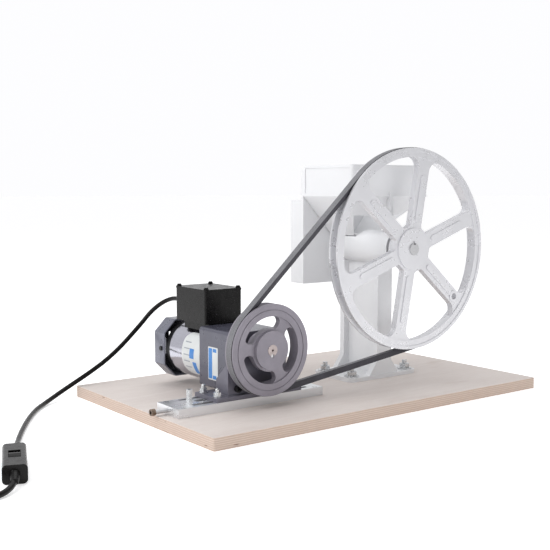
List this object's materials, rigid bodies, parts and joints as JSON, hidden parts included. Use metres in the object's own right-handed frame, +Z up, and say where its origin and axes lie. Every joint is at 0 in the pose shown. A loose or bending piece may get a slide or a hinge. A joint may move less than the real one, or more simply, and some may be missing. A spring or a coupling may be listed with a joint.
{
  "type": "motor-driven grain mill",
  "caption": "Burr grain mill on a plywood board: hopper, column and spoked flywheel, driven by a V-belt from a geared motor on a belt-tensioning slide, with mains cord.",
  "frame": {"origin": "middle of the board's underside", "axes": "+X along the board's long side towards the mill, +Y from the flywheel towards the grinding plates, +Z up"},
  "size_m": [1.0054, 0.4132, 0.3879],
  "materials": {
    "plywood": "satin varnish",
    "white_paint": "gloss powder coat",
    "wheel_paint": "silver paint",
    "sheave_cast": "satin paint",
    "zinc": "zinc plated",
    "steel": "machined",
    "black_steel": "black oxide",
    "burr_iron": "ground",
    "rail_aluminium": "extruded",
    "bracket_paint": "satin paint",
    "gear_paint": "satin paint",
    "barrel_polish": "polished",
    "cap_cast": "die cast",
    "black_plastic": "moulded",
    "belt_rubber": "worn",
    "cord_pvc": "satin",
    "brass": "machined",
    "copper": "varnished winding",
    "capacitor_can": "drawn",
    "shaft_gold": "passivated"
  },
  "bodies": {
    "base": {"plywood_base": "plywood", "mill_housing": "white_paint", "mill_washers": "zinc", "mill_bolts": "zinc", "mill_nuts": "zinc", "front_bearing": "steel", "rear_bearing": "steel", "bearing_spacer": "steel", "stationary_burr": "burr_iron", "burr_screws": "black_steel", "flour_guard": "white_paint", "guard_screws": "zinc", "drive_belt": "belt_rubber", "slide_rail": "rail_aluminium", "rail_screws": "zinc", "anchor_post": "zinc", "mains_cord": "cord_pvc", "switch_body": "black_plastic", "mains_cord_tail": "cord_pvc", "cord_coil": "cord_pvc", "plug_body": "black_plastic", "plug_pins": "steel"},
    "mill_rotor": {"main_shaft": "steel", "flywheel": "wheel_paint", "flywheel_key": "steel", "flywheel_set_screw": "black_steel", "auger": "steel", "drive_pin": "steel"},
    "burr_slider": {"rotating_burr": "burr_iron", "thrust_washer": "steel"},
    "burr_knob": {"adjusting_knob": "black_plastic"},
    "motor_carriage": {"motor_bracket": "bracket_paint", "carriage_block": "zinc", "clamp_bolts": "zinc", "clamp_nuts": "zinc", "gearhead_housing": "gear_paint", "gearhead_screws": "black_steel", "output_bearings": "steel", "motor_flange": "gear_paint", "motor_barrel": "barrel_polish", "stator": "copper", "rotor_bearings": "steel", "motor_rear_shield": "black_steel", "motor_end_cap": "cap_cast", "end_cap_screws": "black_steel", "terminal_box": "black_plastic", "terminal_box_lid": "black_plastic", "lid_screws": "black_plastic", "run_capacitor": "capacitor_can", "cord_gland": "black_plastic"},
    "output_drive": {"output_shaft": "shaft_gold", "output_gear": "steel", "drive_sheave": "sheave_cast", "sheave_key": "steel", "sheave_set_screw": "black_steel"},
    "counter_drive": {"countershaft": "steel"},
    "motor_rotor": {"rotor": "copper", "cooling_fan": "black_plastic"},
    "slide_screw": {"adjusting_screw": "brass"},
    "rocker": {"switch_rocker": "black_plastic"}
  },
  "joints": [
    {"name": "flywheel_spin", "type": "hinge", "parent": "base", "child": "mill_rotor", "pos_m": [0.116, 0, 0.23], "axis": [0, 1, 0], "continuous": true},
    {"name": "burr_slide", "type": "slide", "parent": "mill_rotor", "child": "burr_slider", "axis": [0, -1, 0], "range_m": [0, 0.0022]},
    {"name": "knob_turn", "type": "hinge", "parent": "burr_slider", "child": "burr_knob", "pos_m": [0.116, 0.1, 0.23], "axis": [0, -1, 0], "range_deg": [0, 530]},
    {"name": "motor_slide", "type": "slide", "parent": "base", "child": "motor_carriage", "axis": [1, 0, 0], "range_m": [0, 0.008]},
    {"name": "sheave_spin", "type": "hinge", "parent": "motor_carriage", "child": "output_drive", "pos_m": [-0.161, 0, 0.0996], "axis": [0, 1, 0], "continuous": true},
    {"name": "counter_spin", "type": "hinge", "parent": "motor_carriage", "child": "counter_drive", "pos_m": [-0.14464, 0, 0.08566], "axis": [0, 1, 0], "continuous": true},
    {"name": "motor_spin", "type": "hinge", "parent": "motor_carriage", "child": "motor_rotor", "pos_m": [-0.161, 0, 0.076], "axis": [0, 1, 0], "continuous": true},
    {"name": "slide_screw_turn", "type": "hinge", "parent": "base", "child": "slide_screw", "pos_m": [-0.3, -0.056, 0.0234], "axis": [1, 0, 0], "range_deg": [-2900, 20]},
    {"name": "rocker_tilt", "type": "hinge", "parent": "base", "child": "rocker", "pos_m": [-0.54056, -0.12892, 0.0185], "axis": [0.933, -0.36, 0], "range_deg": [-9, 9]}
  ],
  "couplings": [
    {"joint": "knob_turn", "follows": "burr_slide", "rad_per_m": 4188.8},
    {"joint": "slide_screw_turn", "follows": "motor_slide", "rad_per_m": -6283.2},
    {"joint": "sheave_spin", "follows": "flywheel_spin", "ratio": 2.4911},
    {"joint": "counter_spin", "follows": "flywheel_spin", "ratio": -7.2468},
    {"joint": "motor_spin", "follows": "flywheel_spin", "ratio": 23.351}
  ]
}
